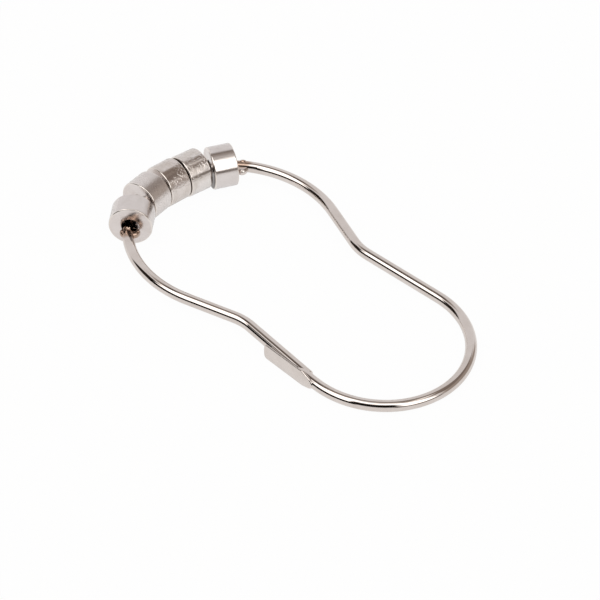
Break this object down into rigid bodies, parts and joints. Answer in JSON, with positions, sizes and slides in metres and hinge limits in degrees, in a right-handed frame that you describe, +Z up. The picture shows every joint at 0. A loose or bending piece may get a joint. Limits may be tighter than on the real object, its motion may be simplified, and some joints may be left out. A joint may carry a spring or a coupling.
{
  "type": "shower curtain hook",
  "caption": "Closed pear-shaped wire ring with a safety-pin clasp: loose metal rollers on its wide end run on the rod, and its plain end carries the curtain.",
  "frame": {"origin": "under the middle of the hook's outline, on the surface that it lies on", "axes": "+X along the ring from the rollers to the plain loop, +Y to the side away from the clasp, +Z up"},
  "size_m": [0.0738, 0.0382, 0.0077],
  "materials": {
    "wire": "polished nickel plating on steel wire",
    "roller": "nickel plating, slightly pitted"
  },
  "bodies": {
    "wire": {"wire_ring": "wire"},
    "roller_1": {"roller_1": "roller"},
    "roller_2": {"roller_2": "roller"},
    "roller_3": {"roller_3": "roller"},
    "roller_4": {"roller_4": "roller"},
    "roller_5": {"roller_5": "roller"}
  },
  "joints": [
    {"name": "roller_1_spin", "type": "hinge", "parent": "wire", "child": "roller_1", "pos_m": [-0.0298, -0.01076, 0.00385], "axis": [-0.6578, 0.7532, 0], "continuous": true},
    {"name": "roller_2_spin", "type": "hinge", "parent": "wire", "child": "roller_2", "pos_m": [-0.03271, -0.00475, 0.00385], "axis": [-0.1708, 0.9853, 0], "continuous": true},
    {"name": "roller_3_spin", "type": "hinge", "parent": "wire", "child": "roller_3", "pos_m": [-0.03298, 0.00046, 0.00385], "axis": [0.0333, 0.9994, 0], "continuous": true},
    {"name": "roller_4_spin", "type": "hinge", "parent": "wire", "child": "roller_4", "pos_m": [-0.0324, 0.00524, 0.00385], "axis": [0.1183, 0.993, 0], "continuous": true},
    {"name": "roller_5_spin", "type": "hinge", "parent": "wire", "child": "roller_5", "pos_m": [-0.02999, 0.01041, 0.00385], "axis": [0.4224, 0.9064, 0], "continuous": true}
  ]
}
